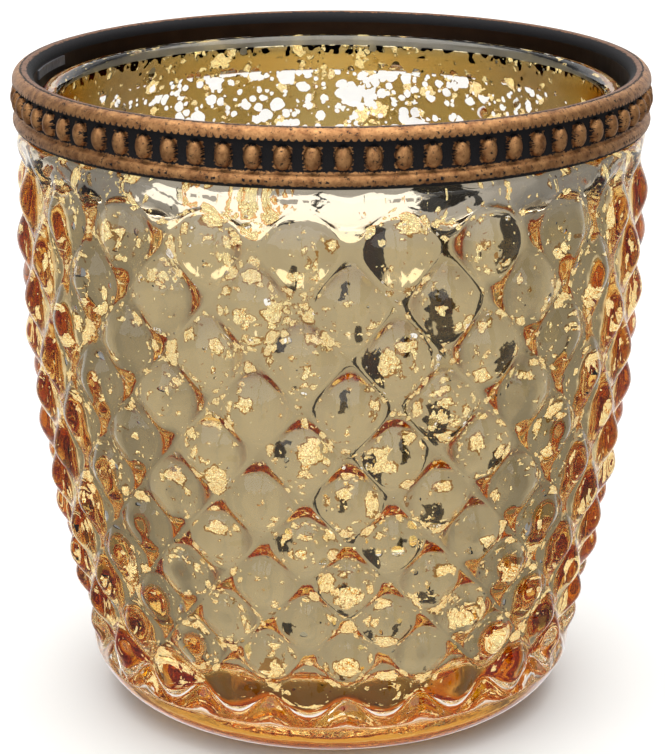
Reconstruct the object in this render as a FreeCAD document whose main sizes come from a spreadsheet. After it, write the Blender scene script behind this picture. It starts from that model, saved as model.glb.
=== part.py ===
"""Tealight holder: a mirror-lined glass cup pressed with diamonds, under a beaded copper rim.

Millimetres, +Z up, origin at the middle of the foot. Every size comes from the "Dims" sheet.
"""

import FreeCAD, Part

import math
import os

import Sketcher

doc = FreeCAD.newDocument("tealight_holder")

# ---------------------------------------------------------------------------
# Driving dimensions
# ---------------------------------------------------------------------------
DIMENSIONS = [
    ("total_height", 83.0),        # foot to the crest of the copper lip
    # glass cup, outside
    ("glass_height", 80.2),        # foot to the fire-polished mouth
    ("belly_radius", 40.45),       # widest circle, over the tips of the diamonds
    ("belly_height", 66.5),
    ("wall_arc_radius", 210.0),    # the long curve from the belly down to the foot
    ("blank_margin", 0.2),         # the smooth blank stands proud of the diamond tips by this
    ("foot_radius", 22.8),         # flat ring that the cup stands on
    ("foot_edge_radius", 9.4),
    ("foot_side_height", 8.4),     # where the foot's round edge meets the wall
    ("punt_radius", 17.0),         # shallow hollow under the foot
    ("punt_depth", 0.8),
    ("shoulder_radius", 39.5),     # end of the bulge, just under the copper band
    ("shoulder_height", 75.0),
    ("shoulder_arc_radius", 32.0),
    ("step_radius", 38.2),         # ledge between the shoulder and the neck
    ("step_height", 76.0),
    ("step_arc_radius", 1.8),
    ("neck_radius", 37.0),
    ("mouth_edge_radius", 1.25),
    # diamonds
    ("diamond_columns", 21),
    ("diamond_turn", -86.7),       # angle of the first column of diamonds
    ("relief_depth", 2.0),        # tip of a diamond down to its corners
    ("top_row_height", 75.0),      # middle of the top row, half of it lost in the shoulder
    ("row_step", 6.9),             # one row down to the next, half a diamond
    ("row_shrink", 0.095),         # rows close up downwards, as the cup narrows
    # glass cup, inside
    ("mouth_wall", 2.7),
    ("cavity_radius", 36.2),
    ("cavity_arc_radius", 205.5),
    ("cavity_neck_height", 78.0),
    ("cavity_neck_arc", 36.0),
    ("cavity_low_radius", 29.3),   # where the wall meets the round corner of the floor
    ("cavity_low_height", 13.7),
    ("cavity_corner_radius", 10.0),
    ("floor_height", 6.0),
    ("floor_radius", 19.6),
    # silvered lining
    ("film", 0.12),
    ("film_top", 79.0),
    # copper collar and beaded band
    ("collar_radius", 37.3),
    ("collar_thickness", 0.6),
    ("collar_bottom", 76.1),
    ("lip_radius", 1.38),          # half-round roll along the top of the band
    ("band_bottom", 76.15),
    ("band_floor_radius", 39.25),  # dark sunk strip that the beads stand on
    ("low_ridge_root", 39.5),
    ("low_ridge_top", 77.7),
    ("low_ridge_arc_radius", 0.95),
    ("bead_count", 72),
    ("bead_height", 79.5),
    ("bead_half_height", 1.55),
    ("bead_half_width", 0.95),
    ("bead_proud", 1.05),
    ("joint_gap", 0.3),            # angle of the braze line where the band's ends meet
    ("joint_turn", -50.6),
    # solder patch on the collar's joint, and glue
    ("patch_thickness", 0.25),
    ("patch_bottom", 80.35),
    ("patch_top", 81.5),
    ("patch_angle", 17.0),
    ("patch_turn", 160.0),
    ("glue_bottom", 76.8),
    ("glue_top", 78.8),
]

sheet = doc.addObject("Spreadsheet::Sheet", "Dims")
for line, (name, value) in enumerate(DIMENSIONS, start=1):
    sheet.set(f"A{line}", name)
    sheet.set(f"B{line}", str(value))
    sheet.setAlias(f"B{line}", name)
doc.recompute()


def dim(name):
    """A driving dimension, as a plain number."""
    return float(getattr(sheet, name))


# ---------------------------------------------------------------------------
# Half sections on the XZ plane, turned about Z
# ---------------------------------------------------------------------------
def origin_feature(body, role):
    return next(feature for feature in body.Origin.OriginFeatures if feature.Role == role)


def arc_between(start, end, radius, side):
    """Arc from start to end. side is 1 for a centre on the left of that way, -1 for the right."""
    chord = end - start
    reach = math.sqrt(max(radius**2 - (chord.Length / 2) ** 2, 0.0))
    leftward = FreeCAD.Vector(-chord.y, chord.x, 0).normalize()
    centre = (start + end) * 0.5 + leftward * side * reach
    angles = [math.atan2(p.y - centre.y, p.x - centre.x) for p in (start, end)]
    if side < 0:
        angles.reverse()
    return Part.ArcOfCircle(Part.Circle(centre, FreeCAD.Vector(0, 0, 1), radius), *angles)


def half_section(body, name, corners, arcs):
    """Closed sketch. corners are pairs of expressions, radius and height, listed anticlockwise.

    arcs maps an edge's number to (radius expression, side). Every other edge is straight.
    """
    sketch = body.newObject("Sketcher::SketchObject", name)
    sketch.AttachmentSupport = [(origin_feature(body, "XZ_Plane"), "")]
    sketch.MapMode = "FlatFace"
    places = [FreeCAD.Vector(*(float(sketch.evalExpression(e)) for e in pair), 0) for pair in corners]
    edges = []  # geometry number, then which of its vertices starts and ends the edge
    for i, start in enumerate(places):
        end = places[(i + 1) % len(places)]
        if i in arcs:
            radius, side = arcs[i]
            arc = arc_between(start, end, float(sketch.evalExpression(radius)), side)
            edges.append((sketch.addGeometry(arc), *((1, 2) if side > 0 else (2, 1))))
        else:
            edges.append((sketch.addGeometry(Part.LineSegment(start, end)), 1, 2))
    for i, (edge, _, last) in enumerate(edges):
        next_edge, first, _ = edges[(i + 1) % len(edges)]
        sketch.addConstraint(Sketcher.Constraint("Coincident", edge, last, next_edge, first))
    for i, (edge, first, _) in enumerate(edges):
        for kind, expression, value in zip(("DistanceX", "DistanceY"), corners[i], places[i]):
            number = sketch.addConstraint(Sketcher.Constraint(kind, -1, 1, edge, first, value))
            sketch.setExpression(f"Constraints[{number}]", expression)
        if i in arcs:
            radius = arcs[i][0]
            value = float(sketch.evalExpression(radius))
            number = sketch.addConstraint(Sketcher.Constraint("Radius", edge, value))
            sketch.setExpression(f"Constraints[{number}]", radius)
    return sketch


def turned(label, corners, arcs, angle="360", turn="0"):
    """A Body whose half section is revolved about Z by an angle, starting at a turn from +X."""
    body = doc.addObject("PartDesign::Body", label)
    body.Label = label
    sketch = half_section(body, label + "_section", corners, arcs)
    revolution = body.newObject("PartDesign::Revolution", label + "_revolution")
    revolution.Profile = sketch
    revolution.ReferenceAxis = (sketch, ["V_Axis"])
    revolution.setExpression("Angle", angle)
    body.Placement.Rotation.Axis = FreeCAD.Vector(0, 0, 1)
    body.setExpression("Placement.Rotation.Angle", turn)
    body.Tip = revolution
    doc.recompute()
    return body


def boolean(kind, label, base, tool):
    result = doc.addObject(kind, label)
    result.Label = label
    result.Base = base
    result.Tool = tool
    doc.recompute()
    return result


# ---------------------------------------------------------------------------
# Glass cup
# ---------------------------------------------------------------------------
def glass_blank():
    """The smooth outside: punt, foot, long wall, shoulder, ledge, neck and mouth."""
    edge = "Dims.foot_edge_radius"
    side = f"Dims.foot_radius + sqrt({edge}^2 - ({edge} - Dims.foot_side_height)^2)"
    corners = [
        ("0", "Dims.punt_depth"),
        ("Dims.punt_radius", "Dims.punt_depth"),
        ("Dims.punt_radius + 2 * Dims.punt_depth", "0"),
        ("Dims.foot_radius", "0"),
        (side, "Dims.foot_side_height"),
        ("Dims.belly_radius + Dims.blank_margin", "Dims.belly_height"),
        ("Dims.shoulder_radius", "Dims.shoulder_height"),
        ("Dims.step_radius", "Dims.step_height"),
        ("Dims.neck_radius", "Dims.step_height"),
        ("Dims.neck_radius", "Dims.glass_height - Dims.mouth_edge_radius"),
        ("Dims.neck_radius - Dims.mouth_edge_radius", "Dims.glass_height"),
        ("0", "Dims.glass_height"),
    ]
    arcs = {
        3: (edge, 1),
        4: ("Dims.wall_arc_radius", 1),
        5: ("Dims.shoulder_arc_radius", 1),
        6: ("Dims.step_arc_radius", 1),
        9: ("Dims.mouth_edge_radius", 1),
    }
    return turned("glass_blank", corners, arcs)


CAVITY_WALL = [
    ("0", "Dims.floor_height"),
    ("Dims.floor_radius", "Dims.floor_height"),
    ("Dims.cavity_low_radius", "Dims.cavity_low_height"),
    ("Dims.cavity_radius", "Dims.belly_height"),
    ("Dims.neck_radius - Dims.mouth_wall", "Dims.cavity_neck_height"),
]
CAVITY_ARCS = {
    1: ("Dims.cavity_corner_radius", 1),
    2: ("Dims.cavity_arc_radius", 1),
    3: ("Dims.cavity_neck_arc", 1),
}


def glass_cavity():
    """The smooth hollow of the cup, opening out over the round inner edge of the mouth."""
    inside = "Dims.neck_radius - Dims.mouth_wall"
    corners = CAVITY_WALL + [
        (inside, "Dims.glass_height - Dims.mouth_edge_radius"),
        (f"{inside} + Dims.mouth_edge_radius", "Dims.glass_height"),
        (f"{inside} + Dims.mouth_edge_radius", "Dims.total_height"),
        ("0", "Dims.total_height"),
    ]
    return turned("glass_cavity", corners, CAVITY_ARCS | {5: ("Dims.mouth_edge_radius", -1)})


def row_height(row):
    """Height of the middle of a row of diamonds. Row 0 is the top one."""
    return dim("top_row_height") - dim("row_step") * row + dim("row_shrink") * row**2


def tip_radius(height):
    """Radius over the diamonds' tips, along the long curve of the wall."""
    drop = dim("belly_height") - height
    return dim("belly_radius") - dim("wall_arc_radius") + math.sqrt(dim("wall_arc_radius") ** 2 - drop**2)


def diamond_barrel():
    """A closed barrel faceted all over into diamonds, each a flat four-sided pyramid.

    It runs past the glass above and below, where the smooth blank lies inside it. Lattice points are
    half a column and one row apart. Where column and row are both odd or both even the point is a
    diamond's tip, and elsewhere it is a corner that four diamonds share, at the foot of the relief.
    """
    around = 2 * int(dim("diamond_columns"))
    rows = [-1]
    while row_height(rows[-1]) > 0:
        rows.append(rows[-1] + 1)

    def point(column, row):
        height = row_height(row)
        radius = tip_radius(height) - dim("relief_depth") * ((column + row) % 2)
        angle = math.radians(dim("diamond_turn") + column * 360.0 / around)
        return FreeCAD.Vector(radius * math.cos(angle), radius * math.sin(angle), height)

    triangles = []
    for row in rows:
        for column in range(row % 2, around, 2):
            tip, left, right = (point(column + step, row) for step in (0, -1, 1))
            if row > rows[0]:
                above = point(column, row - 1)
                triangles += [(tip, right, above), (tip, above, left)]
            if row < rows[-1]:
                below = point(column, row + 1)
                triangles += [(tip, left, below), (tip, below, right)]
    for row in (rows[0], rows[-1]):
        ring = [point(column, row) for column in range(around)]
        centre = FreeCAD.Vector(0, 0, row_height(row))
        triangles += [(centre, a, b) for a, b in zip(ring, ring[1:] + ring[:1])]
    shell = Part.makeShell([Part.Face(Part.makePolygon([*t, t[0]])) for t in triangles])
    shell.sewShape()
    solid = Part.makeSolid(shell)
    if solid.Volume < 0:
        solid.reverse()
    barrel = doc.addObject("Part::Feature", "diamond_barrel")
    barrel.Shape = solid
    return barrel


def glass_cup():
    """The pressed cup: the blank cut to the diamonds, then hollowed."""
    pressed = boolean("Part::Common", "pressed_glass", glass_blank(), diamond_barrel())
    return boolean("Part::Cut", "glass_cup", pressed, glass_cavity())


def mirror_lining():
    """The silvered film on the floor and wall of the hollow, stopping below the round mouth."""
    inside = "Dims.neck_radius - Dims.mouth_wall"
    corners = CAVITY_WALL + [
        (inside, "Dims.film_top"),
        (f"{inside} - Dims.film", "Dims.film_top"),
        (f"{inside} - Dims.film", "Dims.cavity_neck_height"),
        ("Dims.cavity_radius - Dims.film", "Dims.belly_height"),
        ("Dims.cavity_low_radius - Dims.film", "Dims.cavity_low_height"),
        ("Dims.floor_radius", "Dims.floor_height + Dims.film"),
        ("0", "Dims.floor_height + Dims.film"),
    ]
    back = {
        7: ("Dims.cavity_neck_arc", -1),
        8: ("Dims.cavity_arc_radius", -1),
        9: ("Dims.cavity_corner_radius - Dims.film", -1),
    }
    return turned("mirror_lining", corners, CAVITY_ARCS | back)


# ---------------------------------------------------------------------------
# Copper rim
# ---------------------------------------------------------------------------
def inner_collar():
    """Plain hoop round the glass neck, reaching up under the band's lip."""
    wall = "Dims.collar_radius + Dims.collar_thickness"
    top = "Dims.total_height - Dims.lip_radius"
    corners = [
        ("Dims.collar_radius", "Dims.collar_bottom"),
        (wall, "Dims.collar_bottom"),
        (wall, top),
        ("Dims.collar_radius", top),
    ]
    return turned("inner_collar", corners, {})


def band_outline():
    """Section of the stamped strip: low ridge, sunk floor, and the half-round lip over the collar."""
    wall = "Dims.collar_radius + Dims.collar_thickness"
    roll = "Dims.total_height - Dims.lip_radius"
    corners = [
        (wall, "Dims.band_bottom"),
        ("Dims.low_ridge_root", "Dims.band_bottom"),
        ("Dims.low_ridge_root", "Dims.low_ridge_top"),
        ("Dims.band_floor_radius", "Dims.low_ridge_top"),
        ("Dims.band_floor_radius", roll),
        ("Dims.collar_radius + 2 * Dims.lip_radius", roll),
        ("Dims.collar_radius", roll),
        (wall, roll),
    ]
    return corners, {1: ("Dims.low_ridge_arc_radius", 1), 5: ("Dims.lip_radius", 1)}


def beaded_band():
    """The stamped strip bent to a hoop, its tall oval beads standing on the sunk floor."""
    body = turned("beaded_band", *band_outline(), "360 - Dims.joint_gap", "Dims.joint_turn")
    bead = body.newObject("PartDesign::AdditiveEllipsoid", "bead")
    bead.AttachmentSupport = [(origin_feature(body, "XY_Plane"), "")]
    bead.MapMode = "FlatFace"
    pitch = "360 / Dims.bead_count"
    bead.setExpression("AttachmentOffset.Base.x", f"Dims.band_floor_radius * cos({pitch} / 2)")
    bead.setExpression("AttachmentOffset.Base.y", f"-Dims.band_floor_radius * sin({pitch} / 2)")
    bead.setExpression("AttachmentOffset.Base.z", "Dims.bead_height")
    bead.setExpression("AttachmentOffset.Rotation.Angle", f"-({pitch} / 2)")
    bead.setExpression("Radius1", "Dims.bead_half_height")
    bead.setExpression("Radius2", "Dims.bead_proud")
    bead.setExpression("Radius3", "Dims.bead_half_width")
    doc.recompute()
    beads = body.newObject("PartDesign::PolarPattern", "beads")
    beads.Originals = [bead]
    beads.Axis = (origin_feature(body, "Z_Axis"), [""])
    beads.Angle = 360
    beads.setExpression("Occurrences", "Dims.bead_count")
    body.Tip = beads
    doc.recompute()
    return body


def band_braze():
    """The braze that fills the narrow gap between the two ends of the band."""
    turn = "Dims.joint_turn - Dims.joint_gap"
    return turned("band_braze", *band_outline(), "Dims.joint_gap", turn)


def collar_solder():
    """Flattened solder over the collar's butt joint, inside, just above the glass."""
    corners = [
        ("Dims.collar_radius - Dims.patch_thickness", "Dims.patch_bottom"),
        ("Dims.collar_radius", "Dims.patch_bottom"),
        ("Dims.collar_radius", "Dims.patch_top"),
        ("Dims.collar_radius - Dims.patch_thickness", "Dims.patch_top"),
    ]
    return turned("collar_solder", corners, {}, "Dims.patch_angle", "Dims.patch_turn")


def glue_ring():
    """The bed of glue that holds the collar on the glass neck."""
    corners = [
        ("Dims.neck_radius", "Dims.glue_bottom"),
        ("Dims.collar_radius", "Dims.glue_bottom"),
        ("Dims.collar_radius", "Dims.glue_top"),
        ("Dims.neck_radius", "Dims.glue_top"),
    ]
    return turned("glue_ring", corners, {})


# ---------------------------------------------------------------------------
# Build, check and write
# ---------------------------------------------------------------------------
makers = [glass_cup, mirror_lining, inner_collar, beaded_band, band_braze, collar_solder, glue_ring]
parts = [make() for make in makers]
doc.recompute()

for item in doc.Objects:
    if "Invalid" in item.State or "Error" in item.State:
        raise RuntimeError(f"{item.Label} failed: {item.State}")
for part in parts:
    if part.Shape.isNull() or not part.Shape.isValid() or not part.Shape.Solids:
        raise RuntimeError(f"{part.Label} has no valid solid")

os.makedirs("parts", exist_ok=True)
for part in parts:
    part.Shape.exportStep(os.path.join("parts", part.Label + ".step"))
    print(part.Label, len(part.Shape.Solids), "solid,", round(part.Shape.Volume), "mm3")
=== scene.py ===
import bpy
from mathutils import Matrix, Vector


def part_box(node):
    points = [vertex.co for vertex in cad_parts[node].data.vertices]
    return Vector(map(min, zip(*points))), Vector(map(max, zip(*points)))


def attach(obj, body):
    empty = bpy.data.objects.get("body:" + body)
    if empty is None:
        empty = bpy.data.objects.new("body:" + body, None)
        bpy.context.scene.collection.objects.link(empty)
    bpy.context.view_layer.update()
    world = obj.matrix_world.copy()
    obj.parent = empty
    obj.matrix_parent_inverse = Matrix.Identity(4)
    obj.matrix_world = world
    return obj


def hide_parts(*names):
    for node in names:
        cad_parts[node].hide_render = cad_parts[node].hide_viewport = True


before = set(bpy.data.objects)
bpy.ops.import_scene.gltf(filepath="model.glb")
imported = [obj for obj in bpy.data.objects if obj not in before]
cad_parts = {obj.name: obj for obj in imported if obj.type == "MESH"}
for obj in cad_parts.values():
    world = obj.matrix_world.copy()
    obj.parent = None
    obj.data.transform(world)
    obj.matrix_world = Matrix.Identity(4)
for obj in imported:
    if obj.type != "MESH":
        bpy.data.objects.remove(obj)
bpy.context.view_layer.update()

import math

import bpy
from bpy.props import FloatProperty, FloatVectorProperty, IntProperty, PointerProperty
from bpy.types import Operator, Panel, PropertyGroup

bl_info = {
    "name": "Tealight holder",
    "version": (1, 0, 0),
    "blender": (4, 5, 0),
    "location": "View3D > Sidebar > Holder",
    "description": "A mirror-lined pressed glass cup with a beaded antique-copper rim",
    "category": "Add Mesh",
}

MM = 0.001
CUP_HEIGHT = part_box("glass_cup")[1].z
TOTAL_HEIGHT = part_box("beaded_band")[1].z


# ---------------------------------------------------------------------------
# Sizes and colours a user would change
# ---------------------------------------------------------------------------
def length(label, about, metres):
    return FloatProperty(name=label, description=about, default=metres, unit="LENGTH", precision=5)


def linear(hex_colour):
    """sRGB hex such as "B98A5E" to linear red, green and blue."""
    channels = [int(hex_colour[i:i + 2], 16) / 255 for i in (0, 2, 4)]
    return tuple(c / 12.92 if c <= 0.04045 else ((c + 0.055) / 1.055) ** 2.4 for c in channels)


def colour(label, about, hex_colour):
    return FloatVectorProperty(name=label, description=about, default=linear(hex_colour), subtype="COLOR")


class HolderSizes(PropertyGroup):
    belly_radius: length("Belly radius", "Widest circle of the cup, over the diamonds", 40.42 * MM)
    belly_height: length("Belly height", "Height of the widest circle", 66.5 * MM)
    wall_arc: length("Wall curve", "Radius of the long curve of the wall", 210 * MM)
    foot_radius: length("Foot radius", "Outside of the flat ring that the cup stands on", 22.8 * MM)
    foot_edge: length("Foot edge", "Radius of the foot's round edge", 9.4 * MM)
    punt_radius: length("Punt radius", "Hollow under the foot", 17 * MM)
    punt_depth: length("Punt depth", "Depth of the hollow under the foot", 0.8 * MM)
    shoulder_radius: length("Shoulder radius", "End of the bulge under the copper band", 39.5 * MM)
    shoulder_height: length("Shoulder height", "Height of that end", 75 * MM)
    ledge_radius: length("Ledge radius", "Outside of the ledge under the neck", 38.1 * MM)
    ledge_height: length("Ledge height", "Height of the ledge", 75.95 * MM)
    neck_radius: length("Neck radius", "Outside of the glass neck", 36.95 * MM)
    mouth_wall: length("Mouth wall", "Thickness of the glass at the mouth", 2.65 * MM)
    mouth_edge: length("Mouth edge", "Radius of the fire-polished edges", 1.25 * MM)
    cavity_radius: length("Cavity radius", "Widest circle inside", 36.2 * MM)
    cavity_arc: length("Cavity curve", "Radius of the long curve inside", 205.5 * MM)
    cavity_neck: length("Cavity neck", "Height where the inside turns straight up", 78 * MM)
    cavity_corner: length("Cavity corner", "Radius of the corner round the floor", 10 * MM)
    floor_radius: length("Floor radius", "Flat part of the inside floor", 19.6 * MM)
    floor_height: length("Floor height", "Height of the inside floor", 6 * MM)
    diamond_columns: IntProperty(name="Diamonds round", description="Diamonds in one row", default=21)
    diamond_turn: FloatProperty(
        name="Diamond turn",
        description="Angle of the first column of diamonds",
        default=math.radians(-86.7),
        subtype="ANGLE",
    )
    relief: length("Relief", "From the tip of a diamond down to its grooves", 2.0 * MM)
    relief_fade: length("Relief fade", "Height over which the grooves run out under the rim", 4.0 * MM)
    top_row: length("Top row", "Height of the middle of the top row", 75 * MM)
    row_step: length("Row step", "From the top row to the next", 6.9 * MM)
    row_shrink: length("Row shrink", "How much the rows close up downwards", 0.095 * MM)
    film: length("Lining", "Thickness of the silvered film and its lacquer", 0.12 * MM)
    film_top: length("Lining top", "Height where the silvering stops", 79 * MM)
    film_keying: length("Lining keying", "How far the film's skin lies inside the glass surface", 0.08 * MM)
    collar_radius: length("Collar radius", "Inside of the plain copper hoop", 37.3 * MM)
    collar_thickness: length("Collar thickness", "Sheet that the hoop is made from", 0.6 * MM)
    collar_bottom: length("Collar bottom", "Lower edge of the hoop", 76.1 * MM)
    lip_radius: length("Lip radius", "Half-round roll along the band's top", 1.36 * MM)
    band_bottom: length("Band bottom", "Lower edge of the beaded band", 76.15 * MM)
    band_floor: length("Band floor", "Radius of the sunk strip behind the beads", 39.25 * MM)
    ridge_root: length("Ridge root", "Radius at the foot of the lower ridge", 39.5 * MM)
    ridge_top: length("Ridge top", "Upper edge of the lower ridge", 77.7 * MM)
    beads: IntProperty(name="Beads", description="Beads round the band", default=72)
    bead_height: length("Bead height", "Height of the middle of the beads", 79.5 * MM)
    bead_turn: FloatProperty(
        name="Bead turn",
        description="Angle of the first bead",
        default=math.radians(-53.1),
        subtype="ANGLE",
    )


class HolderColours(PropertyGroup):
    glass: colour("Glass", "Clear glass, with the faint warm cast of the batch", "FFFDF8")
    # painted reflection: the foot's amber stands in for gold light bounced round the lining
    glass_foot: colour("Glass foot", "The foot, washed with amber lacquer", "D89632")
    silvering: colour("Silvering", "Gold-toned silvering seen through the glass", "F2DBA8")
    # painted highlight: this paler colour lies towards the rim, where it whitens the bright highlight
    # reflected there
    silvering_top: colour("Silvering top", "The same under the rim, where the lacquer is thin", "EADFCC")
    # silvering_edge and silvering_inside also paint the amber round the foot: a painted reflection of gold
    # light bounced round the lining
    silvering_edge: colour("Silvering edge", "The same at a slant, through more lacquer", "C68410")
    silvering_back: colour("Silvering back", "The bare back of the film, inside the cup", "E8DDB8")
    silvering_inside: colour("Silvering inside", "The bare back at a slant", "CDBB80")
    lacquer: colour("Lacquer", "What grazing light keeps of its colour, through the lacquer", "F0BC68")
    # also the colour of the specks' painted glow, which stands in for light shining through from the hollow
    leaf: colour("Leaf", "Crinkled specks of the silvering, half let go of the glass", "FFF2B4")
    copper: colour("Copper", "Rubbed copper on the high parts", "BE8D5C")
    copper_shade: colour("Copper shade", "Less rubbed copper", "7C5233")
    # the same black also paints the shadow line under the copper band on the silvering: painted shadow
    patina: colour("Patina", "Black patina in the recesses", "100E11")
    oxide: colour("Oxide", "Brown-black oxide inside the rim", "3E2E24")
    solder: colour("Solder", "Grey soft solder", "8A8C95")
    glue: colour("Glue", "Set glue", "D8D0BC")
    floor: colour("Floor", "Pale studio floor", "F4F3F1")


def sizes():
    return bpy.context.scene.holder_sizes


def colours():
    return bpy.context.scene.holder_colours


# ---------------------------------------------------------------------------
# Modelling by hand: rings extruded from a circle, picked and moved by place
# ---------------------------------------------------------------------------
def leave_all():
    """Deselects every object, because an operator acts on all that is selected."""
    if bpy.context.object and bpy.context.object.mode != "OBJECT":
        bpy.ops.object.mode_set(mode="OBJECT")
    bpy.ops.object.select_all(action="DESELECT")


def pick(piece, test, domain="VERT"):
    """Selects the vertices, edges or faces of a piece in edit mode whose middle passes a test."""
    bpy.ops.object.mode_set(mode="EDIT")
    bpy.ops.mesh.select_mode(type=domain)
    bpy.ops.mesh.select_all(action="DESELECT")
    bpy.ops.object.mode_set(mode="OBJECT")
    mesh = piece.data
    if domain == "VERT":
        for vertex in mesh.vertices:
            vertex.select = test(vertex.co)
    elif domain == "EDGE":
        for edge in mesh.edges:
            edge.select = test(*(mesh.vertices[i].co for i in edge.vertices))
    else:
        for face in mesh.polygons:
            face.select = test(face)
    bpy.ops.object.mode_set(mode="EDIT")


def extrude_rings(rings):
    """Draws the selected ring out to each (radius, height) in turn."""
    radius, height = rings[0]
    for next_radius, next_height in rings[1:]:
        bpy.ops.mesh.extrude_region_move(
            TRANSFORM_OT_translate={"value": (0, 0, next_height - height)}
        )
        growth = next_radius / radius
        bpy.ops.transform.resize(value=(growth, growth, 1), center_override=(0, 0, next_height))
        radius, height = next_radius, next_height


def turned_piece(name, rings, segments, turn=0.0, start_fill="NOTHING", end="OPEN"):
    """A turned shape: a circle drawn out ring by ring. end is OPEN, POINT for a pole, or LOOP."""
    leave_all()
    bpy.ops.mesh.primitive_circle_add(
        vertices=segments, radius=rings[0][0], fill_type=start_fill, location=(0, 0, rings[0][1])
    )
    piece = bpy.context.object
    piece.name = piece.data.name = name
    bpy.ops.object.transform_apply()
    bpy.ops.object.mode_set(mode="EDIT")
    if start_fill != "NOTHING":
        inner = 0.5 * rings[0][0]
        bpy.ops.object.mode_set(mode="OBJECT")
        pick(piece, lambda co: math.hypot(co.x, co.y) > inner)
    extrude_rings(rings)
    if end == "POINT":
        bpy.ops.mesh.extrude_region_move()
        bpy.ops.mesh.merge(type="CENTER")
    if end == "LOOP":
        bpy.ops.mesh.select_all(action="SELECT")
        bpy.ops.mesh.remove_doubles(threshold=0.001 * MM)
    bpy.ops.mesh.select_all(action="SELECT")
    bpy.ops.mesh.normals_make_consistent(inside=False)
    bpy.ops.object.mode_set(mode="OBJECT")
    piece.rotation_euler.z = turn - math.pi / 2  # a circle's first point stands on +Y
    bpy.ops.object.transform_apply()
    return piece


def subdivide(piece, levels):
    """Smooths a piece with an applied Subdivision Surface."""
    modifier = piece.modifiers.new("Smooth", "SUBSURF")
    modifier.levels = levels
    modifier.render_levels = levels
    bpy.context.view_layer.objects.active = piece
    bpy.ops.object.modifier_apply(modifier=modifier.name)


def hand_over(piece, slot, *nodes):
    """The piece rides on the one body and stands for its CAD nodes."""
    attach(piece, "root")
    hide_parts(*nodes)


def arc(centre, radius, start, end, steps):
    """Points of a section along an arc. Angles in degrees, 0 outwards and 90 up."""
    angles = [math.radians(start + (end - start) * i / steps) for i in range(steps + 1)]
    return [(centre[0] + radius * math.cos(a), centre[1] + radius * math.sin(a)) for a in angles]


# ---------------------------------------------------------------------------
# Sections of the cup
# ---------------------------------------------------------------------------
RIDGE = 3.0  # 2 for round cones, high for four flat faces with sharp ridges
BLUNT = 0.3  # how far the fire has blunted the tips, as a share of the diamond
LAST_ROW = 12  # row of corners that ends the diamonds above the foot


def row_height(row):
    """Height of a row of tips. The rows close up a little downwards."""
    s = sizes()
    return s.top_row - s.row_step * row + s.row_shrink * row**2


def wall_radius(height):
    """Radius over the diamonds: the long curve up to the belly, then the tighter shoulder curve."""
    s = sizes()
    rise = height - s.belly_height
    if rise < 0:
        bend = s.wall_arc
    else:
        narrowing = s.belly_radius - s.shoulder_radius
        bend = ((s.shoulder_height - s.belly_height) ** 2 + narrowing**2) / (2 * narrowing)
    return s.belly_radius - bend + math.sqrt(bend**2 - rise**2)


def row_at(height):
    """Row number at a height, the inverse of row_height."""
    s = sizes()
    root = s.row_step**2 - 4 * s.row_shrink * (s.top_row - height)
    return (s.row_step - math.sqrt(max(root, 0.0))) / (2 * s.row_shrink)


def groove_depth(column, height):
    """Depth under a diamond's tip at a place on the wall: 0 on the tips, full along the grooves.

    Columns and rows are counted half a diamond apart, so half their sum and half their difference
    count whole diamonds along the two ways that the grooves run.
    """
    s = sizes()
    row = row_at(height)
    ways = [abs(2 * (along - round(along))) for along in (0.5 * (column + row), 0.5 * (column - row))]
    out = min(sum(way**RIDGE for way in ways) ** (1 / RIDGE), 1.0)  # 0 at the tip, 1 on the grooves
    fall = (math.hypot(out, BLUNT) - BLUNT) / (math.hypot(1, BLUNT) - BLUNT)
    above = min(max((s.top_row - height) / s.relief_fade, 0.0), 1.0)
    above = above**2 * (3 - 2 * above)
    below = min(max(LAST_ROW - row, 0.0), 1.0)
    return s.relief * fall * above * below


def cavity_section():
    """The inside of the cup, from the mouth's inner edge down the wall and across the floor."""
    s = sizes()
    mouth = s.neck_radius - s.mouth_wall
    wall_centre = (s.cavity_radius - s.cavity_arc, s.belly_height)
    corner_centre = (s.floor_radius, s.floor_height + s.cavity_corner)
    points = [(mouth, s.film_top), (mouth, s.film_top - 0.4 * MM)]
    waist = s.cavity_radius - mouth
    rise = s.cavity_neck - s.belly_height
    neck_arc = (waist**2 + rise**2) / (2 * waist)
    neck_angle = math.degrees(math.asin(rise / neck_arc))
    points += arc((s.cavity_radius - neck_arc, s.belly_height), neck_arc, neck_angle, 0, 7)
    lean = math.degrees(math.asin((s.belly_height - corner_centre[1]) / (s.cavity_arc - s.cavity_corner)))
    points += arc(wall_centre, s.cavity_arc, -1.5, -lean, 12)
    points += arc(corner_centre, s.cavity_corner, -lean - 6, -90, 7)
    points += [(s.floor_radius * share, s.floor_height) for share in (0.85, 0.6, 0.3)]
    return points


def shifted(points, distance):
    """A section moved to its left, square to its own line, by a distance."""
    moved = []
    for i, (radius, height) in enumerate(points):
        before, after = points[max(i - 1, 0)], points[min(i + 1, len(points) - 1)]
        along = (after[0] - before[0], after[1] - before[1])
        size = math.hypot(*along)
        moved.append((radius - along[1] / size * distance, height + along[0] / size * distance))
    return moved


# ---------------------------------------------------------------------------
# Materials
# ---------------------------------------------------------------------------
def add(tree, kind, inputs=(), **settings):
    """Adds a shader node with its settings.

    inputs maps a socket to a value, or to the output that feeds it. A node feeds by its first output.
    """
    node = tree.nodes.new("ShaderNode" + kind)
    for name, value in settings.items():
        setattr(node, name, value)
    for socket, value in dict(inputs).items():
        if isinstance(value, bpy.types.Node):
            value = value.outputs[0]
        if isinstance(value, bpy.types.NodeSocket):
            tree.links.new(value, node.inputs[socket])
        else:
            node.inputs[socket].default_value = value
    return node


def new_material(name):
    material = bpy.data.materials.new(name)
    material.use_nodes = True
    material.node_tree.nodes.clear()
    return material, material.node_tree


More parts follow.
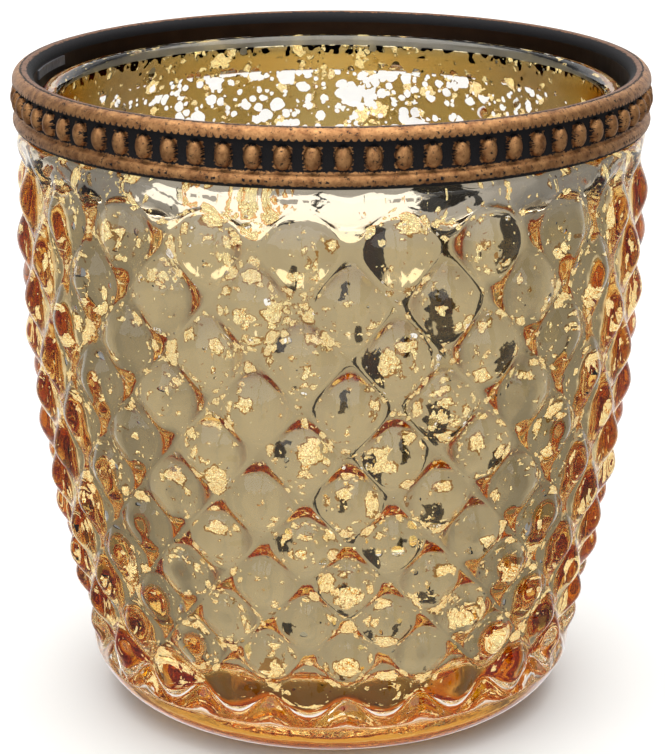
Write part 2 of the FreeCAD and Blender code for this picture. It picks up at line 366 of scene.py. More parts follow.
def in_mm(tree):
    """Place on the piece in millimetres, so that a texture's Scale is its features per millimetre."""
    place = add(tree, "TexCoord").outputs["Object"]
    return add(tree, "VectorMath", {0: place, "Scale": 1 / MM}, operation="SCALE")


def pressed_glass():
    """Soda-lime glass, pressed in a mould and fire-polished: clear and sharp, with a faint warm cast.

    The mould leaves a slight ripple, which bends what is seen through the glass. The foot is tinted
    amber: a painted reflection, in place of the gold light that bounces round the lining into the foot.
    """
    material, tree = new_material("pressed_soda_lime_glass")
    place = in_mm(tree)
    ripple = add(tree, "TexNoise", {"Vector": place, "Scale": 0.35, "Detail": 2.0})
    bump = add(tree, "Bump", {"Height": ripple, "Distance": 0.05 * MM, "Strength": 1.0})
    height = add(tree, "SeparateXYZ", {0: place}).outputs["Z"]
    # painted reflection: the glass turns amber towards the foot, for gold light bounced round the lining
    foot_reflection_share = add(tree, "MapRange", {"Value": height, "From Min": 8.0, "From Max": 5.5})
    clear, foot = (*colours().glass, 1), (*colours().glass_foot, 1)
    tint = add(tree, "Mix", {"Factor": foot_reflection_share, "A": clear, "B": foot}, data_type="RGBA").outputs["Result"]
    shader = add(
        tree,
        "BsdfPrincipled",
        {"Base Color": tint, "Roughness": 0.0, "IOR": 1.52, "Transmission Weight": 1.0, "Normal": bump},
    )
    add(tree, "OutputMaterial", {"Surface": shader})
    return material


# Spacing, smallest and largest radius, extra radius in crowded patches and extra at the back, in mm.
# A radius below nothing leaves no speck.
BLOTS = ((3.0, -2.3, 0.75, 0.2, 1.15), (1.5, -1.1, 0.45, 0.15, 0.7), (0.9, -0.6, 0.2, 0.05, 0.4))
SPECKS = ((2.2, -0.75, 1.0, 0.4, 0.2), (1.0, -0.32, 0.42, 0.25, 0.1), (0.6, -0.2, 0.17, 0.05, 0.0))
BLOT_RAGGEDNESS = 0.35  # mm
SPECK_RAGGEDNESS = 1.5  # mm
SPECK_RIM = 1.2  # radius out to the amber line round a speck, as a share of the speck's
LEAF_GLOW = 0.62  # set because the leaf came out too dark without light of its own


def missing_silver(tree):
    """Where the silvering has pulled away: round blots, crowded at the back, and ragged specks.

    Gives three masks: the blots, the specks, and the specks with their rims.
    """
    place = in_mm(tree)
    wobble = add(tree, "TexNoise", {"Vector": place, "Scale": 1.3, "Detail": 3.0}).outputs["Color"]
    centred = add(tree, "VectorMath", {0: wobble, 1: (0.5, 0.5, 0.5)}, operation="SUBTRACT")
    patches = add(tree, "TexNoise", {"Vector": place, "Scale": 0.16, "Detail": 2.0, "Roughness": 0.6})
    crowding = add(tree, "MapRange", {"Value": patches, "From Min": 0.35, "From Max": 0.65, "To Min": -1.0})
    axes = add(tree, "SeparateXYZ", {0: place})
    to_back = add(tree, "MapRange", {"Value": axes.outputs["Y"], "From Min": 5.0, "From Max": 32.0})
    below_rim = add(tree, "MapRange", {"Value": axes.outputs["Z"], "From Min": 76.3, "From Max": 75.3})
    thin_back = add(tree, "Math", {0: to_back, 1: below_rim}, operation="MULTIPLY")
    found = []
    for kinds, raggedness in ((BLOTS, BLOT_RAGGEDNESS), (SPECKS, SPECK_RAGGEDNESS)):
        shift = {0: centred, 1: (raggedness,) * 3, 2: place}
        ragged = add(tree, "VectorMath", shift, operation="MULTIPLY_ADD")
        mask = rim = 0.0
        for spacing, smallest, largest, crowd, back in kinds:
            cells = add(tree, "TexVoronoi", {"Vector": ragged, "Scale": 1 / spacing, "Randomness": 1.0})
            distance = cells.outputs["Distance"]
            draw = add(tree, "SeparateColor", {0: cells.outputs["Color"]})
            radius = smallest / spacing
            for share, reach in ((draw, largest - smallest), (crowding, crowd), (thin_back, back)):
                wider = {0: share, 1: reach / spacing, 2: radius}
                radius = add(tree, "Math", wider, operation="MULTIPLY_ADD")
            rim_radius = add(tree, "Math", {0: radius, 1: SPECK_RIM}, operation="MULTIPLY")
            inside = add(tree, "Math", {0: distance, 1: radius}, operation="LESS_THAN")
            near = add(tree, "Math", {0: distance, 1: rim_radius}, operation="LESS_THAN")
            mask = add(tree, "Math", {0: mask, 1: inside}, operation="MAXIMUM")
            rim = add(tree, "Math", {0: rim, 1: near}, operation="MAXIMUM")
        found += [mask, rim]
    blots, _, specks, rims = found
    return blots, specks, rims


def silvering(name, face, top, slant, roughness, speck_clearness, black_above, edge_wobble_mm):
    """Sprayed silvering under gold lacquer: a metal mirror, deeper in colour at a slant.

    Light at a slant goes through more lacquer. The blots are clear. The specks are crinkled leaf, half
    let go of the glass, whose creases sparkle bright yellow. They glow a little too, which real leaf
    does not, in place of light that shines through from the hollow. Above black_above, in mm, the film
    turns black with a ragged edge: on the bare back it is the rim's patina that ran down; under the
    glass it is a painted shadow, the dark line under the copper band.
    """
    material, tree = new_material(name)
    place = in_mm(tree)
    height = add(tree, "SeparateXYZ", {0: place}).outputs["Z"]
    blots, specks, rims = missing_silver(tree)
    # the lacquer is deep at a slant and in the lines round the specks; round the foot the film turns amber,
    # a painted reflection of the gold light that bounces round the lining
    facing = add(tree, "LayerWeight", {"Blend": 0.5}).outputs["Facing"]
    slanted = add(tree, "MapRange", {"Value": facing, "From Min": 0.39, "From Max": 0.55})
    # painted reflection: amber towards the foot
    foot_reflection_amber = add(tree, "MapRange", {"Value": height, "From Min": 11.0, "From Max": 7.0})
    depth = add(tree, "Math", {0: slanted, 1: foot_reflection_amber}, operation="MAXIMUM")
    lines = add(tree, "Math", {0: rims, 1: 0.8}, operation="MULTIPLY")
    depth = add(tree, "Math", {0: depth, 1: lines}, operation="MAXIMUM")
    # painted highlight: the silvering turns paler from 68 to 73 mm, where the bright highlight is reflected
    thin = add(tree, "MapRange", {"Value": height, "From Min": 68.0, "From Max": 73.0})
    edge_wobble = add(tree, "TexNoise", {"Vector": place, "Scale": 0.7, "Detail": 1.0, "Roughness": 0.6})
    edge_wobble = add(
        tree,
        "MapRange",
        {"Value": edge_wobble, "From Min": 0.35, "From Max": 0.65, "To Min": -edge_wobble_mm, "To Max": edge_wobble_mm},
    )
    ragged = add(tree, "Math", {0: height, 1: edge_wobble}, operation="ADD")
    # black above black_above: under the glass a painted shadow below the copper band, on the bare back the
    # rim's patina
    black = add(tree, "MapRange", {"Value": ragged, "From Min": black_above, "From Max": black_above + 0.1})
    tint = (*face, 1)
    for share, paint in ((thin, top), (depth, slant), (black, colours().patina)):
        mix = add(tree, "Mix", {"Factor": share, "A": tint, "B": (*paint, 1)}, data_type="RGBA")
        tint = mix.outputs["Result"]
    metal = add(
        tree,
        "BsdfPrincipled",
        {
            "Base Color": tint,
            "Metallic": 1.0,
            "Roughness": roughness,
            "Specular Tint": (*colours().lacquer, 1),
        },
    )
    creases = add(tree, "TexNoise", {"Vector": place, "Scale": 2.4, "Detail": 2.0, "Roughness": 0.6})
    folds = add(tree, "Math", {0: creases, 1: 0.5, 2: 0.02}, operation="COMPARE")
    leaf_colours = {"Factor": folds, "A": (*colours().leaf, 1), "B": (*slant, 1)}
    leaf_tint = add(tree, "Mix", leaf_colours, data_type="RGBA").outputs["Result"]
    leaf = add(
        tree,
        "BsdfPrincipled",
        {
            "Base Color": leaf_tint,
            "Metallic": 1.0,
            "Roughness": 0.12,
            # painted glow: the leaf gives off light of its own
            "Emission Color": leaf_tint,
            "Emission Strength": LEAF_GLOW,
            "Normal": add(tree, "Bump", {"Height": creases, "Distance": 1.2 * MM, "Strength": 1.0}),
        },
    )
    clear = add(tree, "BsdfTransparent")
    speck = add(tree, "MixShader", {0: speck_clearness, 1: leaf, 2: clear})
    specked = add(tree, "MixShader", {0: specks, 1: metal, 2: speck})
    surface = add(tree, "MixShader", {0: blots, 1: specked, 2: clear})
    add(tree, "OutputMaterial", {"Surface": surface})
    return material


TEETH = 288  # milled teeth round the lip's lower edge


def antique_copper():
    """Copper plate dipped in black patina and rubbed back, so it is bright on the high parts only.

    The patina stays in the sunk strip, in the milled teeth under the lip, in the dots along the lower
    ridge, in a thin line along the crest, and inside the rim. All edges of the rubbing are ragged.
    """
    material, tree = new_material("antique_copper_plate")
    s = sizes()
    roll = (TOTAL_HEIGHT - s.lip_radius) / MM
    inner = s.collar_radius / MM
    place = in_mm(tree)
    axes = add(tree, "SeparateXYZ", {0: place})
    height = axes.outputs["Z"]
    flat = add(tree, "VectorMath", {0: place, 1: (1, 1, 0)}, operation="MULTIPLY")
    radius = add(tree, "VectorMath", {0: flat}, operation="LENGTH").outputs["Value"]
    angle = add(tree, "Math", {0: axes.outputs["Y"], 1: axes.outputs["X"]}, operation="ARCTAN2")
    milled = add(tree, "Math", {0: angle, 1: TEETH / math.tau}, operation="MULTIPLY")
    milled = add(tree, "Math", {0: milled, 1: 0.5}, operation="PINGPONG")  # 0 to 0.5 from tooth to gap
    scratch = add(tree, "TexNoise", {"Vector": place, "Scale": 2.6, "Detail": 6.0, "Roughness": 0.75})
    scratch = add(
        tree,
        "MapRange",
        {"Value": scratch, "From Min": 0.3, "From Max": 0.7, "To Min": -0.22, "To Max": 0.22},
    )
    ragged_height = add(tree, "Math", {0: height, 1: scratch}, operation="ADD")
    ragged_radius = add(tree, "Math", {0: radius, 1: scratch}, operation="ADD")

    # rubbed bright: the lip above its teeth, the lower ridge, and the beads with their fringes
    tooth = add(
        tree,
        "MapRange",
        {"Value": milled, "From Min": 0.15, "From Max": 0.5, "To Min": roll - 0.15, "To Max": roll + 0.25},
    )
    lip = add(tree, "Math", {0: scratch, 1: 0.5, 2: height}, operation="MULTIPLY_ADD")
    lip = add(tree, "Math", {0: lip, 1: tooth}, operation="GREATER_THAN")
    middle = 0.5 * (s.ridge_top + s.band_bottom) / MM + 0.22
    ridge = add(tree, "Math", {0: ragged_height, 1: middle, 2: 0.72}, operation="COMPARE")
    streaks = add(tree, "VectorMath", {0: place, 1: (1, 1, 4)}, operation="MULTIPLY")  # run round the band
    fringe = add(tree, "TexNoise", {"Vector": streaks, "Scale": 1.3, "Detail": 3.0, "Roughness": 0.6})
    fringe = add(
        tree,
        "MapRange",
        {"Value": fringe, "From Min": 0.35, "From Max": 0.65, "To Min": 0.75, "To Max": 1.2},
    )
    off_bead = add(tree, "Math", {0: angle, 1: s.bead_turn}, operation="SUBTRACT")
    off_bead = add(tree, "Math", {0: off_bead, 1: s.beads / math.tau}, operation="MULTIPLY")
    off_bead = add(tree, "Math", {0: off_bead, 1: 0.5}, operation="PINGPONG")
    pitch = math.tau * s.band_floor / MM / s.beads
    off_bead = add(tree, "Math", {0: off_bead, 1: pitch}, operation="MULTIPLY")  # mm from a bead's middle
    bead = add(tree, "Math", {0: off_bead, 1: fringe}, operation="LESS_THAN")
    tall = add(tree, "Math", {0: ragged_height, 1: s.bead_height / MM, 2: 1.3}, operation="COMPARE")
    bead = add(tree, "Math", {0: bead, 1: tall}, operation="MULTIPLY")
    rubbed = add(tree, "Math", {0: lip, 1: ridge}, operation="MAXIMUM")
    rubbed = add(tree, "Math", {0: rubbed, 1: bead}, operation="MAXIMUM")

    # left dark: the crest line, the lip's inside, the worn dots on the ridge, and pits all over
    crest = add(tree, "Math", {0: ragged_radius, 1: inner + 1.6, 2: 0.12}, operation="COMPARE")
    inside = add(tree, "Math", {0: ragged_radius, 1: inner + 0.85}, operation="LESS_THAN")
    dot = add(tree, "Math", {0: ragged_height, 1: s.band_bottom / MM + 0.75, 2: 0.14}, operation="COMPARE")
    gap = add(tree, "Math", {0: milled, 1: 0.3}, operation="GREATER_THAN")
    worn = add(tree, "TexNoise", {"Vector": place, "Scale": 0.35, "Detail": 2.0, "Roughness": 0.6})
    worn = add(tree, "Math", {0: worn, 1: 0.52}, operation="GREATER_THAN")
    for only in (gap, worn):
        dot = add(tree, "Math", {0: dot, 1: only}, operation="MULTIPLY")
    pit = add(tree, "TexNoise", {"Vector": place, "Scale": 1.9, "Detail": 8.0, "Roughness": 0.8})
    pit = add(tree, "Math", {0: pit, 1: 0.42}, operation="LESS_THAN")
    dark = crest
    for more in (inside, dot, pit):
        dark = add(tree, "Math", {0: dark, 1: more}, operation="MAXIMUM")
    bare = add(tree, "Math", {0: rubbed, 1: dark}, operation="SUBTRACT", use_clamp=True)

    # less rubbed past the crest and in cloudy patches
    past_crest = add(
        tree, "MapRange", {"Value": ragged_radius, "From Min": inner + 1.7, "From Max": inner + 1.5}
    )
    cloudy = add(tree, "TexNoise", {"Vector": place, "Scale": 0.8, "Detail": 6.0, "Roughness": 0.7})
    cloudy = add(tree, "MapRange", {"Value": cloudy, "From Min": 0.35, "From Max": 0.65})
    duller = add(tree, "Math", {0: past_crest, 1: cloudy}, operation="MAXIMUM")
    coppers = {"Factor": duller, "A": (*colours().copper, 1), "B": (*colours().copper_shade, 1)}
    warm = add(tree, "Mix", coppers, data_type="RGBA").outputs["Result"]
    paints = {"Factor": bare, "A": (*colours().patina, 1), "B": warm}
    paint = add(tree, "Mix", paints, data_type="RGBA").outputs["Result"]
    grain = add(tree, "TexNoise", {"Vector": place, "Scale": 4.0, "Detail": 5.0, "Roughness": 0.6})
    shader = add(
        tree,
        "BsdfPrincipled",
        {
            "Base Color": paint,
            "Metallic": add(tree, "Math", {0: bare, 1: 0.85}, operation="MULTIPLY"),
            "Roughness": add(tree, "MapRange", {"Value": bare, "To Min": 0.7, "To Max": 0.42}),
            "Specular IOR Level": 0.25,
            "Normal": add(tree, "Bump", {"Height": grain, "Distance": 0.08 * MM, "Strength": 0.8}),
        },
    )
    add(tree, "OutputMaterial", {"Surface": shader})
    return material


def plain(name, tint, metallic, roughness, grain_mm, depth_mm):
    """A worked metal or set resin with its own fine, uneven surface."""
    material, tree = new_material(name)
    grain = add(tree, "TexNoise", {"Vector": in_mm(tree), "Scale": 1 / grain_mm, "Detail": 5.0})
    dark = tuple(0.55 * c for c in tint)
    paints = {"Factor": grain, "A": (*tint, 1), "B": (*dark, 1)}
    shader = add(
        tree,
        "BsdfPrincipled",
        {
            "Base Color": add(tree, "Mix", paints, data_type="RGBA").outputs["Result"],
            "Metallic": metallic,
            "Roughness": roughness,
            "Normal": add(tree, "Bump", {"Height": grain, "Distance": depth_mm * MM}),
        },
    )
    add(tree, "OutputMaterial", {"Surface": shader})
    return material


# ---------------------------------------------------------------------------
# Pieces
# ---------------------------------------------------------------------------
def cup_outside():
    """Section of the outside, from the punt's middle out, up the wall and over the mouth."""
    s = sizes()
    foot = (s.foot_radius, s.foot_edge)
    points = [(s.punt_radius * share, s.punt_depth) for share in (0.3, 0.65, 0.95)]
    points += [(s.punt_radius + 0.8 * s.punt_depth, 0.5 * s.punt_depth)]
    points += [(s.punt_radius + 2 * s.punt_depth, 0), (0.5 * (s.foot_radius + s.punt_radius) + MM, 0)]
    points += arc(foot, s.foot_edge, -90, -34, 7)
    foot_join = row_height(LAST_ROW)
    points += [(wall_radius(foot_join - 0.25 * MM), foot_join - 0.25 * MM)]
    points += [(wall_radius(row_height(row)), row_height(row)) for row in range(LAST_ROW, -1, -1)]
    points += [(s.shoulder_radius - 0.05 * MM, s.shoulder_height + 0.2 * MM)]
    points += [(s.shoulder_radius - 0.4 * MM, s.ledge_height - 0.35 * MM), (s.ledge_radius, s.ledge_height)]
    points += [(s.neck_radius + 0.3 * MM, s.ledge_height), (s.neck_radius, s.ledge_height + 0.3 * MM)]
    points += [(s.neck_radius, 0.5 * (s.ledge_height + CUP_HEIGHT))]
    edge_height = CUP_HEIGHT - s.mouth_edge
    points += arc((s.neck_radius - s.mouth_edge, edge_height), s.mouth_edge, 0, 90, 5)
    points += arc((s.neck_radius - s.mouth_wall + s.mouth_edge, edge_height), s.mouth_edge, 90, 180, 5)
    return points


class HOLDER_OT_glass_cup(Operator):
    """Turn the cup, net its wall into diamonds and press them in"""

    bl_idname = "holder.glass_cup"
    bl_label = "Glass cup"

    cuts = 5  # each side of a diamond is cut this many times

    def execute(self, context):
        s = sizes()
        around = 2 * s.diamond_columns
        section = cup_outside() + cavity_section()[1:]
        cup = turned_piece("glass_cup", section, around, s.diamond_turn, "TRIFAN", "POINT")
        self.net_diamonds(cup, around)
        self.press_diamonds(cup, around)
        subdivide(cup, 1)
        bpy.ops.object.shade_smooth()
        cup.data.materials.append(pressed_glass())
        hand_over(cup, "clear_glass", "glass_cup")
        return {"FINISHED"}

    def on_wall(self, co):
        """On the diamonds' band of the outside, or on its edges."""
        within = row_height(LAST_ROW) - 0.01 * MM < co.z < row_height(0) + 0.01 * MM
        return within and co.xy.length > wall_radius(co.z) - sizes().relief

    def net_diamonds(self, cup, around):
        """Splits the wall along the grooves, joins each four triangles to a diamond, and cuts them fine."""
        s = sizes()

        def is_tip(co):
            column = round((math.atan2(co.y, co.x) - s.diamond_turn) / math.tau * around)
            return self.on_wall(co) and (column + round(row_at(co.z))) % 2 == 0

        def is_inner_tip(co):
            return is_tip(co) and row_height(LAST_ROW) + MM < co.z < row_height(0) - MM

        pick(cup, is_tip)
        raised = 1 + 0.5 * s.relief / s.belly_radius  # makes the way over a tip the longer diagonal
        bpy.ops.transform.resize(value=(raised, raised, 1), center_override=(0, 0, 0))
        pick(cup, lambda face: self.on_wall(face.center), "FACE")
        bpy.ops.mesh.quads_convert_to_tris(quad_method="SHORTEST_DIAGONAL")
        pick(cup, is_inner_tip)
        bpy.ops.mesh.dissolve_verts()
        pick(cup, lambda face: self.on_wall(face.center), "FACE")
        bpy.ops.mesh.subdivide(number_cuts=self.cuts)
        bpy.ops.object.mode_set(mode="OBJECT")

    def press_diamonds(self, cup, around):
        """Sets every point of the net on the mould, which no edit-mode tool can do point by point."""
        s = sizes()
        depths = {}
        for vertex in cup.data.vertices:
            co = vertex.co
            if self.on_wall(co):
                column = (math.atan2(co.y, co.x) - s.diamond_turn) / math.tau * around
                depths[vertex.index] = groove_depth(column, co.z)
                co.xy *= (wall_radius(co.z) - depths[vertex.index]) / co.xy.length
        places = {tuple(cup.data.vertices[i].co): depth for i, depth in depths.items()}
        floor_of_groove = 0.98 * s.relief
        pick(cup, lambda *ends: all(places.get(tuple(end), 0) > floor_of_groove for end in ends), "EDGE")
        bpy.ops.transform.edge_crease(value=0.6)
        bpy.ops.mesh.select_all(action="SELECT")
        bpy.ops.mesh.normals_make_consistent(inside=False)
        bpy.ops.object.mode_set(mode="OBJECT")


class HOLDER_OT_mirror_lining(Operator):
    """Lay the silvered film on the inside of the glass"""

    bl_idname = "holder.mirror_lining"
    bl_label = "Mirror lining"

    def execute(self, context):
        s = sizes()
        section = cavity_section()
        against_glass = shifted(section, s.film_keying)
        bare = shifted(section, s.film_keying - s.film)
        rings = against_glass[::-1] + bare
        around = 2 * s.diamond_columns
        film = turned_piece("mirror_lining", rings, around, s.diamond_turn, "TRIFAN", "POINT")
        subdivide(film, 2)
        bpy.ops.object.shade_smooth()
        film.data.materials.append(
            silvering(
                "gold_silvering_under_glass",
                colours().silvering,
                colours().silvering_top,
                colours().silvering_edge,
                roughness=0.04,
                speck_clearness=0.1,
                # painted shadow: the film is black from here up, the dark line under the copper band
                black_above=74.5,
                edge_wobble_mm=0.3,
            )
        )
        film.data.materials.append(
            silvering(
                "gold_silvering_bare_back",
                colours().silvering_back,
                colours().silvering_back,
                colours().silvering_inside,
                roughness=0.25,
                speck_clearness=0.9,
                black_above=78.7,
                edge_wobble_mm=1.3,
            )
        )
        for face in film.data.polygons:
            outward = face.normal.x * face.center.x + face.normal.y * face.center.y
            if outward < 0 or (face.normal.z > 0.5 and face.center.z < s.belly_height):
                face.material_index = 1
        hand_over(film, "gold_mirror", "mirror_lining")
        return {"FINISHED"}


class HOLDER_OT_copper_rim(Operator):
    """Turn the collar and the milled band, and set the beads on it"""

    bl_idname = "holder.copper_rim"
    bl_label = "Copper rim"

    def execute(self, context):
        s = sizes()
        copper = antique_copper()
        band = self.band()
        beads = self.beads()
        leave_all()
        for piece in [band, *beads]:
            piece.select_set(True)
        context.view_layer.objects.active = band
        bpy.ops.object.join()
        band.data.materials.clear()
        band.data.materials.append(copper)
        hand_over(band, "antique_copper", "beaded_band", "band_braze")
        roll = TOTAL_HEIGHT - s.lip_radius
        outer = s.collar_radius + s.collar_thickness
        heights = [s.collar_bottom + (roll - s.collar_bottom) * i / 6 for i in range(7)]
        rings = [(s.collar_radius, z) for z in heights] + [(outer, z) for z in reversed(heights)]
        collar = turned_piece("inner_collar", rings + rings[:1], 144, end="LOOP")
        bpy.ops.object.shade_smooth_by_angle(angle=math.radians(40))
        # rolled sheet, browned and blackened by the torch: a dull, nearly black sheen
        collar.data.materials.append(plain("oxidised_copper", colours().oxide, 1.0, 0.5, 2.5, 0.1))
        hand_over(collar, "dark_copper", "inner_collar")
        return {"FINISHED"}

    def band(self):
        """The strip: a lower ridge, a sunk strip for the beads, and a rolled lip with a milled edge."""
        s = sizes()
        roll = TOTAL_HEIGHT - s.lip_radius
        outer = s.collar_radius + s.collar_thickness
        middle = s.collar_radius + s.lip_radius
        rings = [(outer, s.band_bottom), (s.ridge_root - 0.9 * MM, s.band_bottom)]
        low = s.band_bottom - 0.28 * MM  # the strip's edge turns down over the ledge of the glass
        bulge = 0.5 * (s.ridge_top - low)
        rings += arc((s.ridge_root - 0.35 * MM, low + bulge), bulge, -80, 66, 9)
        rings += [(s.band_floor + 0.05 * MM, s.ridge_top + 0.05 * MM)]
        rings += [(s.band_floor, z) for z in (s.ridge_top + 0.3 * MM, s.bead_height, roll - 0.45 * MM)]
        rings += [(s.band_floor + 0.1 * MM, roll - 0.15 * MM)]
        rings += arc((middle, roll), s.lip_radius, -3, 183, 16)
        rings += [(outer, roll - 0.05 * MM)]
        band = turned_piece("beaded_band", rings + rings[:1], 2 * TEETH, end="LOOP")
        step = math.pi / TEETH

        def is_gap(co):
            odd = round(math.atan2(co.y, co.x) / step) % 2 == 1
            return odd and abs(co.z - (roll - 0.15 * MM)) < 0.02 * MM and co.xy.length > s.band_floor

        pick(band, is_gap)
        bpy.ops.transform.translate(value=(0, 0, 0.3 * MM))
        bpy.ops.object.mode_set(mode="OBJECT")
        bpy.ops.object.shade_smooth_by_angle(angle=math.radians(50))
        return band

    def beads(self):
        """One bead, an egg flattened on its face, copied round the band."""
        s = sizes()
        leave_all()
        bpy.ops.mesh.primitive_uv_sphere_add(segments=16, ring_count=12, radius=1.0)
        first = bpy.context.object
        first.name = "bead"
        first.scale = (1.05 * MM, 1.08 * MM, 1.56 * MM)
        first.location = (s.band_floor, 0, s.bead_height)
        bpy.ops.object.transform_apply()
        pick(first, lambda co: co.x < s.band_floor - 0.3 * MM)
        bpy.ops.mesh.delete(type="VERT")
        bpy.ops.object.mode_set(mode="OBJECT")
        bpy.ops.object.shade_smooth()
        made = []
        for i in range(s.beads):
            bead = first.copy()
            bead.data = first.data.copy()
            bpy.context.collection.objects.link(bead)
            bead.rotation_euler.z = s.bead_turn + math.tau * i / s.beads
            made.append(bead)
        bpy.data.objects.remove(first)
        leave_all()
        for bead in made:
            bead.select_set(True)
        bpy.context.view_layer.objects.active = made[0]
        bpy.ops.object.transform_apply()
        return made


class HOLDER_OT_solder_and_glue(Operator):
    """Give the solder and the glue their finishes"""

    bl_idname = "holder.solder_and_glue"
    bl_label = "Solder and glue"

    def execute(self, context):
        finishes = {
            # melted and flattened with the iron: a soft grey shine over low ripples
            "collar_solder": plain("soft_solder", colours().solder, 0.8, 0.35, 1.2, 0.15),
            # squeezed out and set hard: milky and smooth
            "glue_ring": plain("set_glue", colours().glue, 0.0, 0.3, 3.0, 0.1),
        }
        for node, finish in finishes.items():
            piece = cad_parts[node]
            piece.data.materials.clear()
            piece.data.materials.append(finish)
        return {"FINISHED"}


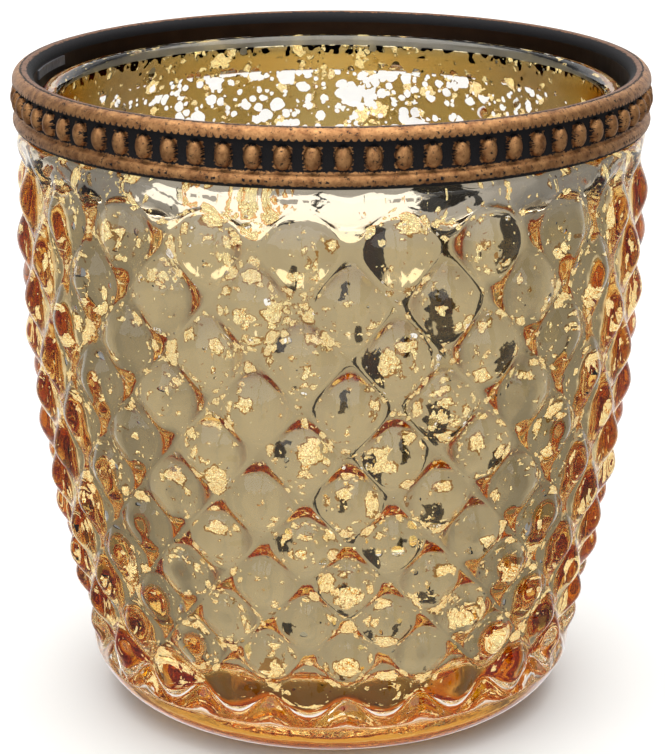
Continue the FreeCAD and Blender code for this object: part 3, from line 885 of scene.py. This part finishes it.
class HOLDER_OT_stage(Operator):
    """Lay the pale floor, hang the soft lights and set up the camera"""

    bl_idname = "holder.stage"
    bl_label = "Stage"

    distance = 345 * MM  # camera to the middle of the holder
    elevation = math.radians(17.47)
    lens = 126.3
    white, room, table, aside_share = 1.05, 0.5, 0.42, 0.55  # brightness of the parts of the room
    # bearing from the camera, half width, rise and half height in degrees, and brightness:
    # a softbox at the upper left, then three dark stands
    panels = (
        (-17.2, 51.6, 26.4, 20.1, 1.5),
        (44, 8, 2, 26, 0.03),
        (-2, 2, 14, 12, 0.03),
        (12, 5, -30, 9, 0.03),
    )

    def execute(self, context):
        leave_all()
        bpy.ops.mesh.primitive_plane_add(size=6.0, location=(0, 0, 0))
        floor = context.object
        floor.name = "studio_floor"
        floor.data.materials.append(self.floor_paint())
        floor.visible_glossy = floor.visible_transmission = False  # the lining mirrors the room instead
        self.light("top_softbox", (0, 0.1, 1.1), (0, 0, 0), 1.4, 14)
        self.light("left_softbox", (-0.9, -0.5, 0.7), (0, 0, 0.04), 0.7, 6)
        self.surroundings()
        back, up = self.distance * math.cos(self.elevation), self.distance * math.sin(self.elevation)
        place = (0, -back, 0.5 * TOTAL_HEIGHT + up)
        bpy.ops.object.camera_add(location=place, rotation=(math.pi / 2 - self.elevation, 0, 0))
        camera = context.object
        camera.data.lens = self.lens
        camera.data.sensor_width = 36
        camera.data.shift_x = 0.0018
        camera.data.clip_start = 0.01
        context.scene.camera = camera
        context.scene.view_settings.view_transform = "Standard"
        context.scene.cycles.max_bounces = 24
        context.scene.cycles.glossy_bounces = 16
        context.scene.cycles.transmission_bounces = 20
        context.scene.cycles.transparent_max_bounces = 24
        return {"FINISHED"}

    def light(self, name, place, target, size, power):
        """A square soft light, turned from its place towards its target."""
        bpy.ops.object.light_add(type="AREA", location=place)
        lamp = bpy.context.object
        lamp.name = name
        lamp.data.shape = "SQUARE"
        lamp.data.size = size
        lamp.data.energy = power
        aim = [t - p for t, p in zip(target, place)]
        lamp.rotation_euler = (
            math.pi - math.atan2(math.hypot(aim[0], aim[1]), aim[2]),
            0,
            math.atan2(aim[1], aim[0]) + math.pi / 2,
        )

    def floor_paint(self):
        """Matt emulsion on a smooth board: an even pale grey that takes a soft shadow."""
        material, tree = new_material("studio_floor_paint")
        shader = add(tree, "BsdfPrincipled", {"Base Color": (*colours().floor, 1), "Roughness": 0.8})
        add(tree, "OutputMaterial", {"Surface": shader})
        return material

    def surroundings(self):
        """The room that the mirror lining shows: white behind and overhead, dimmer towards the camera."""
        world = bpy.data.worlds.new("studio")
        bpy.context.scene.world = world
        world.use_nodes = True
        tree = world.node_tree
        tree.nodes.clear()
        direction = add(tree, "TexCoord").outputs["Generated"]
        wobble = add(tree, "TexNoise", {"Vector": direction, "Scale": 5.0, "Detail": 4.0}).outputs["Color"]
        ragged = add(tree, "VectorMath", {0: wobble, 1: (0.5,) * 3, 2: direction}, operation="MULTIPLY_ADD")
        centred = add(tree, "VectorMath", {0: ragged, 1: (0.25,) * 3}, operation="SUBTRACT")
        axes = add(tree, "SeparateXYZ", {0: centred})
        forward = add(tree, "Math", {0: axes.outputs["Y"], 1: -1.0}, operation="MULTIPLY")
        bearing = add(tree, "Math", {0: axes.outputs["X"], 1: forward}, operation="ARCTAN2")
        rise = add(tree, "Math", {0: axes.outputs["Z"]}, operation="ARCSINE")
        behind = add(tree, "MapRange", {"Value": forward, "From Min": -0.6, "From Max": -0.8})
        overhead = add(tree, "MapRange", {"Value": rise, "From Min": 0.7, "From Max": 1.0})
        white = add(tree, "Math", {0: behind, 1: overhead}, operation="MAXIMUM")
        down = {"Value": rise, "From Min": -0.3, "From Max": -0.8, "To Min": self.room, "To Max": self.table}
        aside = {"Value": add(tree, "Math", {0: bearing}, operation="ABSOLUTE"), "From Min": 1.0}
        aside.update({"From Max": 1.5, "To Min": 1.0, "To Max": self.aside_share})
        dim = [add(tree, "MapRange", sockets) for sockets in (down, aside)]
        dim = add(tree, "Math", dict(enumerate(dim)), operation="MULTIPLY")
        level = add(tree, "Mix", {"Factor": white, "A": dim, "B": self.white}).outputs["Result"]
        for side, half_width, middle, half_height, light in self.panels:
            within = []
            for angle, centre, reach in ((bearing, side, half_width), (rise, middle, half_height)):
                span = {0: angle, 1: math.radians(centre), 2: math.radians(reach)}
                within.append(add(tree, "Math", span, operation="COMPARE"))
            panel = add(tree, "Math", dict(enumerate(within)), operation="MULTIPLY")
            level = add(tree, "Mix", {"Factor": panel, "A": level, "B": light}).outputs["Result"]
        light = add(tree, "Background", {"Color": (1, 1, 1, 1), "Strength": level})
        add(tree, "OutputWorld", {"Surface": light})


class VIEW3D_PT_tealight_holder(Panel):
    """Lists the pieces and their sizes and colours"""

    bl_label = "Tealight holder"
    bl_space_type = "VIEW_3D"
    bl_region_type = "UI"
    bl_category = "Holder"

    def draw(self, context):
        for maker in MAKERS:
            self.layout.operator(maker.bl_idname)
        for group in (sizes(), colours()):
            box = self.layout.box()
            for name in group.__annotations__:
                box.prop(group, name)


MAKERS = (
    HOLDER_OT_glass_cup,
    HOLDER_OT_mirror_lining,
    HOLDER_OT_copper_rim,
    HOLDER_OT_solder_and_glue,
    HOLDER_OT_stage,
)
CLASSES = (HolderSizes, HolderColours, *MAKERS, VIEW3D_PT_tealight_holder)


def register():
    for cls in CLASSES:
        bpy.utils.register_class(cls)
    bpy.types.Scene.holder_sizes = PointerProperty(type=HolderSizes)
    bpy.types.Scene.holder_colours = PointerProperty(type=HolderColours)


def unregister():
    del bpy.types.Scene.holder_colours
    del bpy.types.Scene.holder_sizes
    for cls in reversed(CLASSES):
        bpy.utils.unregister_class(cls)


def main():
    register()
    bpy.ops.holder.glass_cup()
    bpy.ops.holder.mirror_lining()
    bpy.ops.holder.copper_rim()
    bpy.ops.holder.solder_and_glue()
    bpy.ops.holder.stage()


if __name__ == "__main__":
    main()
